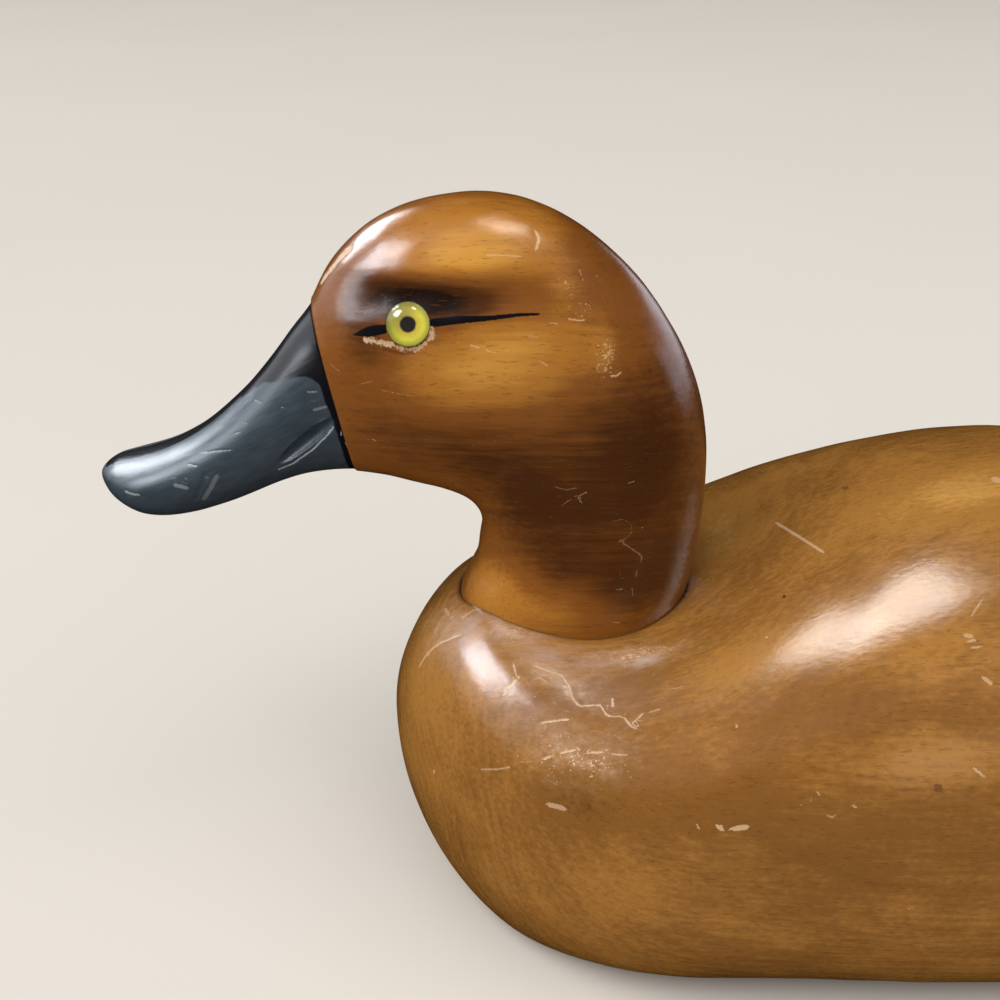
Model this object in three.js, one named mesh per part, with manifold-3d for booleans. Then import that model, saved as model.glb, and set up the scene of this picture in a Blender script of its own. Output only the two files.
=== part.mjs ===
import * as THREE from 'three';
import { mergeVertices } from 'three/addons/utils/BufferGeometryUtils.js';
import Module from 'manifold-3d';

// Carved wooden duck decoy, in millimetres with Z up. The bill points to -X and the decoy rests on z = 0.
// Head, neck and bill are one carving let into the top of the body. A glass eye sits in each side of it.

const wasm = await Module();
wasm.setup();

// Lengthwise positions in the section tables are measured from the eyes; this centres the decoy on x = 0.
const eyeX = -116.1;

// Clearance between pieces that touch.
const clearance = 0.3;

// Sections of the head from the tip of the bill round to the foot of the neck. Each column is:
// crown side x, crown side z, chin side x, chin side z, half width, share of the height where it is widest.
const headSections = [
  [-77.8, 120.2, -77.8, 114.6, 11.3, 0.50], // tip of the bill
  [-66.0, 122.6, -66.5, 107.8, 12.8, 0.50],
  [-55.0, 127.3, -55.0, 107.8, 12.7, 0.47],
  [-45.0, 135.0, -43.5, 111.3, 12.0, 0.42], // saddle of the bill
  [-35.8, 144.6, -31.5, 116.2, 11.3, 0.38],
  [-28.8, 154.0, -22.0, 118.1, 11.3, 0.38],
  [-23.7, 161.0, -14.5, 118.1, 12.3, 0.40], // root of the bill
  [-18.6, 170.2, -6.5, 116.9, 14.8, 0.44],
  [-7.8, 180.1, 1.0, 115.1, 17.0, 0.46], // forehead
  [7.0, 185.3, 8.0, 113.3, 18.6, 0.48],
  [25.0, 184.9, 13.2, 110.6, 19.4, 0.50], // crown
  [43.5, 175.5, 15.9, 107.0, 19.8, 0.52],
  [58.5, 159.3, 16.3, 103.0, 19.8, 0.54], // back of the head
  [68.5, 139.7, 15.7, 99.0, 19.6, 0.55],
  [71.7, 119.5, 15.1, 94.8, 19.6, 0.55], // nape
  [71.0, 102.0, 13.2, 90.4, 20.2, 0.55],
  [68.7, 87.5, 11.0, 85.0, 21.0, 0.54], // where the neck meets the body
  [66.6, 75.0, 8.6, 76.0, 21.5, 0.53], // foot of the neck, inside the body
];
const headSquareness = 2.25;

// The tip of the bill is rounded over these lengths, seen from above and from the side.
const billTipWidthLength = 13;
const billTipDepthLength = 5;
const billTipSections = 3;

// Sections of the body from the breast to the tail. Each column is:
// x, top z, bottom z, half width, height of the greatest width, squareness above that height.
const bodySections = [
  [-6.7, 83.0, -6.0, 55.0, 50.0, 2.15], // breast
  [12.0, 87.0, -7.0, 63.0, 48.0, 2.35],
  [40.0, 82.5, -8.0, 71.0, 46.0, 3.3], // under the neck
  [70.0, 88.5, -8.0, 73.5, 46.0, 3.9],
  [105.0, 107.5, -8.0, 75.5, 47.0, 3],
  [145.0, 118.3, -8.0, 76.0, 48.0, 2.6], // middle of the back
  [185.0, 116.2, -8.0, 72.0, 50.0, 2.5],
  [225.0, 105.0, 0.0, 61.0, 53.0, 2.4],
  [262.0, 91.0, 21.0, 46.0, 59.0, 2.3], // rump
  [290.0, 83.0, 46.0, 36.5, 66.0, 2.2],
  [310.0, 80.5, 62.0, 31.0, 72.0, 2.2], // tip of the tail
];
const bodySquarenessBelow = 2.4;

// Both ends of the body are rounded over these lengths.
const breastWidthLength = 80;
const breastTopLength = 26;
const breastLowLength = 42;
const tailWidthLength = 34;
const tailDepthLength = 10;

// Shallow carved hollow along each side of the head, over the eye.
// It takes no more than `share` of the distance to the centre plane.
const browHollow = {
  front: -19,
  rear: 36,
  height: 166,
  rise: 0.06,
  halfHeight: 6,
  depth: 1.3,
  fade: 14,
  share: 0.3,
};

// Short gouge at each corner of the mouth, close to the root of the bill.
const mouthGouge = {
  x: -25.4,
  side: 12,
  z: 129.2,
  length: 19,
  height: 3.8,
  depth: 4.8,
  pitch: 0.71,
  flare: 0.08,
};

// Glass eye: flat-backed button with a domed front, tilted up and turned a little towards the bill.
const eye = {
  side: 16.9,
  height: 160,
  radius: 5,
  back: 3.2,
  rim: 0.4,
  dome: 2,
  tiltUp: 0.24,
  turnForward: 0.12,
};

// The tools that cut the eye sockets and the flat underside reach well past the wood.
const socketToolReach = 10;
const floorToolSize = 500;

// Fineness of the faceted surfaces. The rings at the tip of the bill lie in the first `tipRingSections` of
// the table, and the pocket for the neck follows the last `pocketRings` rings of the head.
const headSides = 36;
const headRingsAtTip = 6;
const tipRingSections = 1;
const headRings = 44;
const pocketRings = 10;
const bodySides = 48;
const bodyRingsAtBreast = 13;
const bodyRingsAlongBack = 18;
const bodyRingsAtTail = 6;
const breastRingLength = 50;
const tailRingLength = 24;
const eyeSides = 24;
const eyeDomeSteps = 4;
const gougeSides = 16;
const gougeRings = 10;

// Natural cubic spline through the given values.
function smoothCurve(knots, values) {
  const last = knots.length - 1;
  const bends = new Array(last + 1).fill(0);
  const carry = new Array(last + 1).fill(0);
  for (let i = 1; i < last; i += 1) {
    const before = knots[i] - knots[i - 1];
    const after = knots[i + 1] - knots[i];
    const share = before / (before + after);
    const pivot = share * carry[i - 1] + 2;
    const turn = (values[i + 1] - values[i]) / after - (values[i] - values[i - 1]) / before;
    carry[i] = (share - 1) / pivot;
    bends[i] = ((6 * turn) / (before + after) - share * bends[i - 1]) / pivot;
  }
  for (let i = last - 1; i > 0; i -= 1) {
    bends[i] += carry[i] * bends[i + 1];
  }
  return (at) => {
    let i = 0;
    while (i < last - 1 && at > knots[i + 1]) {
      i += 1;
    }
    const step = knots[i + 1] - knots[i];
    const b = (at - knots[i]) / step;
    const a = 1 - b;
    const sag = ((a ** 3 - a) * bends[i] + (b ** 3 - b) * bends[i + 1]) * ((step * step) / 6);
    return a * values[i] + b * values[i + 1] + sag;
  };
}

// Share of the full size at a given distance from a rounded end.
function rounded(distance, length) {
  const short = Math.max(0, 1 - distance / length);
  return Math.sqrt(Math.max(0, 1 - short * short));
}

// Point of a rounded square of half size 1 at an angle.
function squircle(angle, squareness) {
  const across = Math.cos(angle);
  const up = Math.sin(angle);
  const reach = (Math.abs(across) ** squareness + Math.abs(up) ** squareness) ** (-1 / squareness);
  return [across * reach, up * reach];
}

function column(rows, index) {
  return rows.map((row) => row[index]);
}

const headKnots = headSections.map((row, index) => index);
const headCurves = headSections[0].map((value, index) => smoothCurve(headKnots, column(headSections, index)));
const bodyKnots = column(bodySections, 0);
const bodyCurves = bodySections[0].map((value, index) => smoothCurve(bodyKnots, column(bodySections, index)));

// Depth of the hollow over the eye at a place on the side of the head.
function browHollowDepth(x, z) {
  const offset = (z - browHollow.height - browHollow.rise * x) / browHollow.halfHeight;
  const across = Math.max(0, 1 - offset * offset) ** 2;
  const inside = Math.min(x - browHollow.front, browHollow.rear - x);
  const along = THREE.MathUtils.smoothstep(inside, 0, browHollow.fade);
  return browHollow.depth * across * along;
}

// One ring of the head at a position in the section table, made larger all round by `grow`.
function headRing(position, grow) {
  const [crownX, crownZ, chinX, chinZ, halfWidth, widest] = headCurves.map((curve) => curve(position));
  const fromTip = crownX - headSections[0][0];
  const atTip = position < billTipSections;
  const widthShare = atTip ? rounded(fromTip, billTipWidthLength) : 1;
  const depthShare = atTip ? rounded(fromTip, billTipDepthLength) : 1;
  const middle = new THREE.Vector2(crownX + chinX, crownZ + chinZ).multiplyScalar(0.5);
  const chin = new THREE.Vector2(chinX, chinZ).sub(middle).multiplyScalar(depthShare).add(middle);
  const crown = new THREE.Vector2(crownX, crownZ).sub(middle).multiplyScalar(depthShare).add(middle);
  const height = crown.distanceTo(chin);
  const up = crown.clone().sub(chin).normalize();
  const points = [];
  for (let side = 0; side < headSides; side += 1) {
    const [across, rise] = squircle((2 * Math.PI * side) / headSides, headSquareness);
    const reach = rise > 0 ? (1 - widest) * height + grow : widest * height + grow;
    const upward = widest * height + rise * reach;
    const x = chin.x + up.x * upward;
    const z = chin.y + up.y * upward;
    const y = across * (halfWidth * widthShare + grow);
    const hollow = Math.min(browHollowDepth(x, z), Math.abs(y) * browHollow.share);
    points.push(new THREE.Vector3(eyeX + x, y - Math.sign(y) * hollow, z));
  }
  return points;
}

// One ring of the body at a distance from the eyes.
function bodyRing(position) {
  const [x, topZ, bottomZ, halfWidth, widestZ, squareness] = bodyCurves.map((curve) => curve(position));
  const fromBreast = position - bodySections[0][0];
  const fromTail = bodySections[bodySections.length - 1][0] - position;
  const tailShare = rounded(fromTail, tailDepthLength);
  const above = (topZ - widestZ) * rounded(fromBreast, breastTopLength) * tailShare;
  const below = (widestZ - bottomZ) * rounded(fromBreast, breastLowLength) * tailShare;
  const reach = halfWidth * rounded(fromBreast, breastWidthLength) * rounded(fromTail, tailWidthLength);
  const points = [];
  for (let side = 0; side < bodySides; side += 1) {
    const angle = (2 * Math.PI * side) / bodySides;
    const upper = side < bodySides / 2;
    const [across, rise] = squircle(angle, upper ? squareness : bodySquarenessBelow);
    points.push(new THREE.Vector3(eyeX + x, across * reach, widestZ + rise * (upper ? above : below)));
  }
  return points;
}

// Evenly spaced numbers after the start, up to and including the end.
function spread(start, end, steps) {
  return Array.from({ length: steps }, (unused, index) => start + ((end - start) * (index + 1)) / steps);
}

// Numbers that start close together and end far apart, like the rings of a rounded end.
function easeOut(length, steps) {
  return spread(0, Math.PI / 2, steps).map((angle) => length * (1 - Math.cos(angle)));
}

// Closed skin over rings of points, with a point or a flat cap at each end.
function skin(start, rings, end) {
  const sides = rings[0].length;
  const points = [start, ...rings.flat(), end];
  const index = [];
  const ringPoint = (ring, side) => 1 + ring * sides + (side % sides);
  for (let side = 0; side < sides; side += 1) {
    index.push(0, ringPoint(0, side + 1), ringPoint(0, side));
    for (let ring = 0; ring < rings.length - 1; ring += 1) {
      const a = ringPoint(ring, side);
      const b = ringPoint(ring, side + 1);
      const c = ringPoint(ring + 1, side);
      const d = ringPoint(ring + 1, side + 1);
      index.push(a, b, d, a, d, c);
    }
    index.push(points.length - 1, ringPoint(rings.length - 1, side), ringPoint(rings.length - 1, side + 1));
  }
  const geometry = new THREE.BufferGeometry();
  const coordinates = points.flatMap((point) => point.toArray());
  geometry.setAttribute('position', new THREE.Float32BufferAttribute(coordinates, 3));
  geometry.setIndex(index);
  return geometry;
}

function middleOf(points) {
  return points.reduce((sum, point) => sum.add(point), new THREE.Vector3()).divideScalar(points.length);
}

// Positions in the section table of the head's rings behind the tip of the bill.
const mainHeadPositions = spread(tipRingSections, headSections.length - 1, headRings);

function toSolid(geometry) {
  geometry.deleteAttribute('normal');
  geometry.deleteAttribute('uv');
  const closed = mergeVertices(geometry);
  const vertProperties = new Float32Array(closed.getAttribute('position').array);
  const triVerts = new Uint32Array(closed.getIndex().array);
  return new wasm.Manifold(new wasm.Mesh({ numProp: 3, vertProperties, triVerts }));
}

function toMesh(solid, name, material) {
  const { vertProperties, triVerts } = solid.getMesh();
  const geometry = new THREE.BufferGeometry();
  geometry.setAttribute('position', new THREE.BufferAttribute(new Float32Array(vertProperties), 3));
  geometry.setIndex(new THREE.BufferAttribute(new Uint32Array(triVerts), 1));
  geometry.computeVertexNormals();
  const mesh = new THREE.Mesh(geometry, material);
  mesh.name = name;
  return mesh;
}

// Head, neck and bill as one skin from the tip of the bill to the foot of the neck.
function headSolid() {
  const positions = [...easeOut(tipRingSections, headRingsAtTip), ...mainHeadPositions];
  const rings = positions.map((position) => headRing(position, 0));
  const tip = new THREE.Vector3(eyeX + headSections[0][0], 0, (headSections[0][1] + headSections[0][3]) / 2);
  return toSolid(skin(tip, rings, middleOf(rings[rings.length - 1])));
}

// Room in the body for the foot of the neck, with clearance around it and below it.
function neckPocket() {
  const rings = mainHeadPositions.slice(-pocketRings).map((position) => headRing(position, clearance));
  rings[rings.length - 1].forEach((point) => point.setZ(point.z - clearance));
  return toSolid(skin(middleOf(rings[0]), rings, middleOf(rings[rings.length - 1])));
}

function bodySolid() {
  const breastX = bodySections[0][0];
  const tailX = bodySections[bodySections.length - 1][0];
  const breastPositions = easeOut(breastRingLength, bodyRingsAtBreast).map((step) => breastX + step);
  const backPositions = spread(breastX + breastRingLength, tailX - tailRingLength, bodyRingsAlongBack);
  const tailPositions = easeOut(tailRingLength, bodyRingsAtTail).map((step) => tailX - step).reverse();
  const positions = [...breastPositions, ...backPositions, ...tailPositions.slice(1)];
  const breast = new THREE.Vector3(eyeX + breastX, 0, bodySections[0][4]);
  const tail = new THREE.Vector3(eyeX + tailX, 0, bodySections[bodySections.length - 1][4]);
  return toSolid(skin(breast, positions.map(bodyRing), tail));
}

// Everything below the resting plane.
function floorCutter() {
  const box = new THREE.BoxGeometry(floorToolSize, floorToolSize, floorToolSize);
  box.translate(0, 0, -floorToolSize / 2);
  return toSolid(box);
}

// Turns a shape made along +Z so that it faces outwards at the eye on one side (-1 left, 1 right).
function placeAtEye(geometry, side) {
  const outward = new THREE.Vector3(-eye.turnForward, side, eye.tiltUp).normalize();
  const turn = new THREE.Quaternion().setFromUnitVectors(new THREE.Vector3(0, 0, 1), outward);
  geometry.applyQuaternion(turn);
  geometry.translate(eyeX, side * eye.side, eye.height);
  return geometry;
}

function eyeSolid(side) {
  const profile = [new THREE.Vector2(0, -eye.back), new THREE.Vector2(eye.radius, -eye.back)];
  for (let step = 0; step < eyeDomeSteps; step += 1) {
    const angle = (Math.PI * step) / (2 * eyeDomeSteps);
    const rise = (eye.dome + eye.rim) * Math.sin(angle);
    profile.push(new THREE.Vector2(eye.radius * Math.cos(angle), rise - eye.rim));
  }
  profile.push(new THREE.Vector2(0, eye.dome));
  const lathe = new THREE.LatheGeometry(profile, eyeSides);
  lathe.rotateX(Math.PI / 2);
  return toSolid(placeAtEye(lathe, side));
}

function eyeSocket(side) {
  const length = socketToolReach + eye.back + clearance;
  const radius = eye.radius + clearance;
  const cylinder = new THREE.CylinderGeometry(radius, radius, length, eyeSides);
  cylinder.rotateX(Math.PI / 2);
  cylinder.translate(0, 0, length / 2 - eye.back - clearance);
  return toSolid(placeAtEye(cylinder, side));
}

// A ball one unit across, drawn out to the size of the gouge and leant along the corner of the mouth.
function mouthGougeCutter(side) {
  const hollow = new THREE.SphereGeometry(1 / 2, gougeSides, gougeRings);
  hollow.scale(mouthGouge.length, mouthGouge.depth, mouthGouge.height);
  hollow.rotateY(-mouthGouge.pitch);
  hollow.rotateZ(side * mouthGouge.flare);
  hollow.translate(eyeX + mouthGouge.x, side * mouthGouge.side, mouthGouge.z);
  return toSolid(hollow);
}

let head = headSolid();
for (const side of [-1, 1]) {
  head = head.subtract(eyeSocket(side)).subtract(mouthGougeCutter(side));
}
const body = bodySolid().subtract(neckPocket()).subtract(floorCutter());

const bodyWood = new THREE.MeshStandardMaterial({ color: 0xb07a35, roughness: 0.4, metalness: 0 });
const headWood = new THREE.MeshStandardMaterial({ color: 0x8a4f1c, roughness: 0.4, metalness: 0 });
const eyeGlass = new THREE.MeshStandardMaterial({ color: 0xcfc14a, roughness: 0.08, metalness: 0 });

const decoy = new THREE.Group();
decoy.name = 'duck_decoy';
decoy.add(toMesh(body, 'body', bodyWood));
decoy.add(toMesh(head, 'head', headWood));
decoy.add(toMesh(eyeSolid(-1), 'eye_left', eyeGlass));
decoy.add(toMesh(eyeSolid(1), 'eye_right', eyeGlass.clone()));

export default decoy;
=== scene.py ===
import math

import bpy
import numpy as np
from mathutils import Euler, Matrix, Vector
from mathutils.bvhtree import BVHTree


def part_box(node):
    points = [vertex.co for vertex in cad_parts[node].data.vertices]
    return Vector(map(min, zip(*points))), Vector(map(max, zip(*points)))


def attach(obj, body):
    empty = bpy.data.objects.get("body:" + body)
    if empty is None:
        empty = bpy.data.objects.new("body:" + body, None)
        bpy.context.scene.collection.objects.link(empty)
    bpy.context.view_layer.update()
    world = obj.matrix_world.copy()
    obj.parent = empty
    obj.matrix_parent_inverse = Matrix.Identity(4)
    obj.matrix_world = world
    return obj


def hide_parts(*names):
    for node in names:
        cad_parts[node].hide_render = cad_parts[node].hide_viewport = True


# Carved and varnished duck decoy. The bill points to -X, and the decoy's left side is towards -Y.
# Shapes are worked out in millimetres, with x measured from the eyes, and become metres in the last step.

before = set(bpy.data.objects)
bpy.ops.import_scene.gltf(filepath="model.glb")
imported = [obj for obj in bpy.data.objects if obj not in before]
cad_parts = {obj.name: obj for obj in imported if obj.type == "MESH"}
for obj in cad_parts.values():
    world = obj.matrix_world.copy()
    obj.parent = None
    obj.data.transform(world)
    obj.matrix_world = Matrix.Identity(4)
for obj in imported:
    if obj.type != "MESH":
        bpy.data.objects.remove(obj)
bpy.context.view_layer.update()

MM = 0.001
SEED = 11
WAVES_ADDED, WAVE_SPREAD = 14, (0.7, 1.6)
random = np.random.default_rng(SEED)

# Sections of the head from the tip of the bill round to the foot of the neck. Each column is:
# crown side x, crown side z, chin side x, chin side z, half width, share of the height where it is widest.
HEAD_SECTIONS = np.array([
    [-77.8, 120.2, -77.8, 114.6, 11.3, 0.5],  # tip of the bill
    [-66, 122.6, -66.5, 107.8, 12.8, 0.5],
    [-55, 127.3, -55, 107.8, 12.7, 0.47],
    [-45, 135, -43.5, 111.3, 12, 0.42],  # saddle of the bill
    [-35.8, 144.6, -31.5, 116.2, 11.3, 0.38],
    [-28.8, 154, -22, 118.1, 11.3, 0.38],
    [-23.7, 161, -14.5, 118.1, 12.3, 0.4],  # root of the bill
    [-18.6, 170.2, -6.5, 116.9, 14.8, 0.44],
    [-7.8, 180.1, 1, 115.1, 17, 0.46],  # forehead
    [7, 185.3, 8, 113.3, 18.6, 0.48],
    [25, 184.9, 13.2, 110.6, 19.4, 0.5],  # crown
    [43.5, 175.5, 15.9, 107, 19.8, 0.52],
    [58.5, 159.3, 16.3, 103, 19.8, 0.54],  # back of the head
    [68.5, 139.7, 15.7, 99, 19.6, 0.55],
    [71.7, 119.5, 15.1, 94.8, 19.6, 0.55],  # nape
    [71, 102, 13.2, 90.4, 20.2, 0.55],
    [68.7, 87.5, 11, 85, 21, 0.54],  # where the neck meets the body
    [66.6, 75, 8.6, 76, 21.5, 0.53],  # foot of the neck, inside the body
])
HEAD_SQUARENESS = 2.25
BILL_TIP_SECTIONS = 3
BILL_TIP_WIDTH_LENGTH = 13.0
BILL_TIP_DEPTH_LENGTH = 5.0

# Sections of the body from the breast to the tail. Each column is:
# x, top z, bottom z, half width, height of the greatest width, squareness above that height.
BODY_SECTIONS = np.array([
    [-6.7, 83, -6, 55, 50, 2.15],  # breast
    [12, 87, -7, 63, 48, 2.35],
    [40, 82.5, -8, 71, 46, 3.3],  # under the neck
    [70, 88.5, -8, 73.5, 46, 3.9],
    [105, 107.5, -8, 75.5, 47, 3],
    [145, 118.3, -8, 76, 48, 2.6],  # middle of the back
    [185, 116.2, -8, 72, 50, 2.5],
    [225, 105, 0, 61, 53, 2.4],
    [262, 91, 21, 46, 59, 2.3],  # rump
    [290, 83, 46, 36.5, 66, 2.2],
    [310, 80.5, 62, 31, 72, 2.2],  # tip of the tail
])
BODY_SQUARENESS_BELOW = 2.4
BREAST_WIDTH_LENGTH = 80.0
BREAST_TOP_LENGTH = 26.0
BREAST_LOW_LENGTH = 42.0
TAIL_WIDTH_LENGTH = 34.0
TAIL_DEPTH_LENGTH = 10.0

# Place of the eyes along the decoy, from where the tip of the bill lies in the frame.
EYE_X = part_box("head")[0][0] / MM - HEAD_SECTIONS[0, 0]

CLEARANCE = 0.3  # between pieces that touch

# Hollow over the eye.
HOLLOW_FRONT, HOLLOW_REAR, HOLLOW_Z, HOLLOW_RISE = -19.0, 36.0, 166.0, 0.06
HOLLOW_HALF_HEIGHT, HOLLOW_DEPTH, HOLLOW_FADE, HOLLOW_SHARE = 6.0, 1.3, 14.0, 0.3

# Gouge at each corner of the mouth.
GOUGE_X, GOUGE_SIDE, GOUGE_Z = -25.4, 12.0, 129.2
GOUGE_LENGTH, GOUGE_HEIGHT, GOUGE_DEPTH = 19.0, 3.8, 4.8
GOUGE_PITCH, GOUGE_FLARE = 0.71, 0.08

# Line where the painted bill meets the bare wood: a section of the table, bowed back on the sides.
SEAM_SECTION = 6.0
SEAM_BOW, SEAM_BOW_REACH, SEAM_BOW_SHAPE = 0.17, 0.9, 1.5
SEAM_POINTS = 60
SEAM_OVERRUN = 20  # steps that the line is carried on past the surface
SEAM_STEP = 0.35

# Glass eye: place, size and the way it faces.
EYE_SIDE, EYE_Z = 16.9, 160.0
EYE_RADIUS, EYE_BACK, EYE_RIM, EYE_DOME = 5.0, 3.2, 0.4, 2.0
EYE_TILT_UP, EYE_TURN_FORWARD = 0.24, 0.12
EYE_SIDES, PUPIL_SIDES, DOME_STEPS, ENAMEL_STEPS = 96, 64, 20, 14
SOCKET_TOP = 9.0

# The enamel behind the glass is a thin cup round its back and rim, with the pupil a disc on its floor.
IRIS_DEPTH = 1.0
ENAMEL_WALL = 0.18
ENAMEL_FLOOR = -IRIS_DEPTH - 0.05
ENAMEL_DROP = 0.08
GLASS_LEDGE = 0.05
GLASS_PLAY = 0.02
PUPIL_RADIUS = 1.55
PUPIL_BACK, PUPIL_FRONT = ENAMEL_FLOOR + 0.005, ENAMEL_FLOOR + 0.03
GLASS_LIGHT_FROM, GLASS_LIGHT_TO, GLASS_LIGHT_SLOPE = -3.0, 2.0, 0.8  # painted light: the iris is lighter to the rear and below, and painted shade darkens it to the front and above

# Angles in degrees above which an edge between faces is crisp.
WOOD_SHARP, EYE_SHARP = 50, 35

# Fineness of the surfaces. The bill and face take finer rings than the neck, and the breast than the rump:
# the spacing grows between two sections of the head's table, and between two distances along the body.
HEAD_RINGS, HEAD_SIDES = 345, 268
BODY_RINGS, BODY_SIDES = 262, 352
HEAD_COARSER, HEAD_COARSER_FROM, HEAD_COARSER_TO = 0.5, 8.5, 11.0
BODY_COARSER, BODY_COARSER_FROM, BODY_COARSER_TO = 0.4, 110.0, 150.0
QUARTER_TURNS = (math.pi / 2, 0.0, -math.pi / 2)
CROWN_SECTION = 9.0
SHOULDER_X = BODY_SECTIONS[4, 0]
MEASURING_STEPS = 4000
PATH_STEPS = 12

# Pocket in the body for the foot of the neck, as sections of the head's table, and its fineness.
POCKET_TOP_SECTION, POCKET_MIDDLE_SECTION = 13.0, 15.0
POCKET_RINGS, POCKET_SIDES = 60, 240

# Box that is cut away below the flat underside.
BELOW_CORNERS = [(x, y, z) for x in (-90, 400) for y in (-120, 120) for z in (-60, 0)]
BELOW_FACES = [(0, 1, 3, 2), (4, 6, 7, 5), (0, 4, 5, 1), (2, 3, 7, 6), (0, 2, 6, 4), (1, 5, 7, 3)]

# The photograph's view: the camera looks across the decoy and down, in a square picture.
PICTURE = 1000
FOCAL_PIXELS = 1400.0
SENSOR = 36.0
CAMERA_PITCH = math.radians(24.4)
CAMERA_FROM_EYES = np.array([20.79, -319.8, 254.05])

FLOOR_REACH = 40000.0
LAMPS_AIM = (-70, 0, 100)
LAMPS_AWAY = 12000.0


def natural_spline(knots, values):
    """Natural cubic spline through the given values."""
    gaps = np.diff(knots)
    turns = np.diff(np.diff(values) / gaps)
    stiffness = np.eye(len(knots))
    for i in range(1, len(knots) - 1):
        stiffness[i, i - 1:i + 2] = gaps[i - 1], 2 * (gaps[i - 1] + gaps[i]), gaps[i]
    bend = np.linalg.solve(stiffness, np.concatenate([[0.0], 6 * turns, [0.0]]))

    def curve(at):
        at = np.clip(at, knots[0], knots[-1])
        i = np.clip(np.searchsorted(knots, at, side="right") - 1, 0, len(knots) - 2)
        step = knots[i + 1] - knots[i]
        b = (at - knots[i]) / step
        a = 1 - b
        sag = ((a**3 - a) * bend[i] + (b**3 - b) * bend[i + 1]) * step**2 / 6
        return a * values[i] + b * values[i + 1] + sag

    return curve


HEAD_KNOTS = np.arange(len(HEAD_SECTIONS), dtype=float)
HEAD_CURVES = [natural_spline(HEAD_KNOTS, column) for column in HEAD_SECTIONS.T]
BODY_CURVES = [natural_spline(BODY_SECTIONS[:, 0], column) for column in BODY_SECTIONS.T[1:]]


def rounded(distance, length):
    """Share of the full size at a distance from a rounded end."""
    short = np.maximum(0, 1 - distance / length)
    return np.sqrt(np.maximum(0, 1 - short**2))


def squircle(angle, squareness):
    """Point of a rounded square of half size 1 at an angle."""
    across, up = np.cos(angle), np.sin(angle)
    reach = (np.abs(across) ** squareness + np.abs(up) ** squareness) ** (-1 / squareness)
    return across * reach, up * reach


def smooth_step(low, high, value):
    share = np.clip((value - low) / (high - low), 0, 1)
    return share * share * (3 - 2 * share)


def hollow_depth(x, z):
    """Depth of the hollow over the eye."""
    offset = (z - HOLLOW_Z - HOLLOW_RISE * x) / HOLLOW_HALF_HEIGHT
    across = np.maximum(0, 1 - offset**2) ** 2
    inside = np.minimum(x - HOLLOW_FRONT, HOLLOW_REAR - x)
    return HOLLOW_DEPTH * across * smooth_step(0, HOLLOW_FADE, inside)


def gouge_floor(x, z):
    """Distance from the centre plane to the floor of the gouge, and without end where there is none."""
    dx, dz = x - GOUGE_X, z - GOUGE_Z
    along = dx * math.cos(GOUGE_PITCH) + dz * math.sin(GOUGE_PITCH)
    up = dz * math.cos(GOUGE_PITCH) - dx * math.sin(GOUGE_PITCH)
    inside = 1 - (2 * along / GOUGE_LENGTH) ** 2 - (2 * up / GOUGE_HEIGHT) ** 2
    floor = GOUGE_SIDE + GOUGE_FLARE * dx - GOUGE_DEPTH / 2 * np.sqrt(np.maximum(0, inside))
    return np.where(inside > 0, floor, np.inf)


def head_surface(position, angle, grow=0.0):
    """Points of the head at positions in its table and angles round it, `grow` outside its surface."""
    position, angle = np.broadcast_arrays(position, angle)
    crown_x, crown_z, chin_x, chin_z, half_width, widest = (curve(position) for curve in HEAD_CURVES)
    from_tip = np.maximum(0, crown_x - HEAD_SECTIONS[0, 0])
    at_tip = position < BILL_TIP_SECTIONS
    half_width = half_width * np.where(at_tip, rounded(from_tip, BILL_TIP_WIDTH_LENGTH), 1)
    depth_share = np.where(at_tip, rounded(from_tip, BILL_TIP_DEPTH_LENGTH), 1)
    middle_x, middle_z = (crown_x + chin_x) / 2, (crown_z + chin_z) / 2
    height = np.hypot(crown_x - chin_x, crown_z - chin_z)
    up_x, up_z = (crown_x - chin_x) / height, (crown_z - chin_z) / height
    height = height * depth_share
    across, rise = squircle(angle, HEAD_SQUARENESS)
    reach = np.where(rise > 0, 1 - widest, widest) * height + grow
    upward = (widest - 0.5) * height + rise * reach
    x = middle_x + up_x * upward
    z = middle_z + up_z * upward
    y = across * (half_width + grow)
    y = y - np.sign(y) * np.minimum(hollow_depth(x, z), np.abs(y) * HOLLOW_SHARE)
    y = np.sign(y) * np.minimum(np.abs(y), gouge_floor(x, z))
    return np.stack([x, y, z], axis=-1)


def body_surface(x, angle):
    """Points of the body at distances behind the eyes and angles round it, with no flat underside yet."""
    x, angle = np.broadcast_arrays(x, angle)
    top_z, bottom_z, half_width, widest_z, squareness = (curve(x) for curve in BODY_CURVES)
    from_breast = x - BODY_SECTIONS[0, 0]
    from_tail = BODY_SECTIONS[-1, 0] - x
    tail_share = rounded(from_tail, TAIL_DEPTH_LENGTH)
    above = (top_z - widest_z) * rounded(from_breast, BREAST_TOP_LENGTH) * tail_share
    below = (widest_z - bottom_z) * rounded(from_breast, BREAST_LOW_LENGTH) * tail_share
    reach = half_width * rounded(from_breast, BREAST_WIDTH_LENGTH) * rounded(from_tail, TAIL_WIDTH_LENGTH)
    upper = np.sin(angle) > 0
    across, rise = squircle(angle, np.where(upper, squareness, BODY_SQUARENESS_BELOW))
    z = widest_z + rise * np.where(upper, above, below)
    return np.stack([x, across * reach, z], axis=-1)


def lengths_along(points):
    """Running length of a row of points."""
    steps = np.linalg.norm(np.diff(points, axis=0), axis=-1)
    return np.concatenate([[0.0], np.cumsum(steps)])


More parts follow.
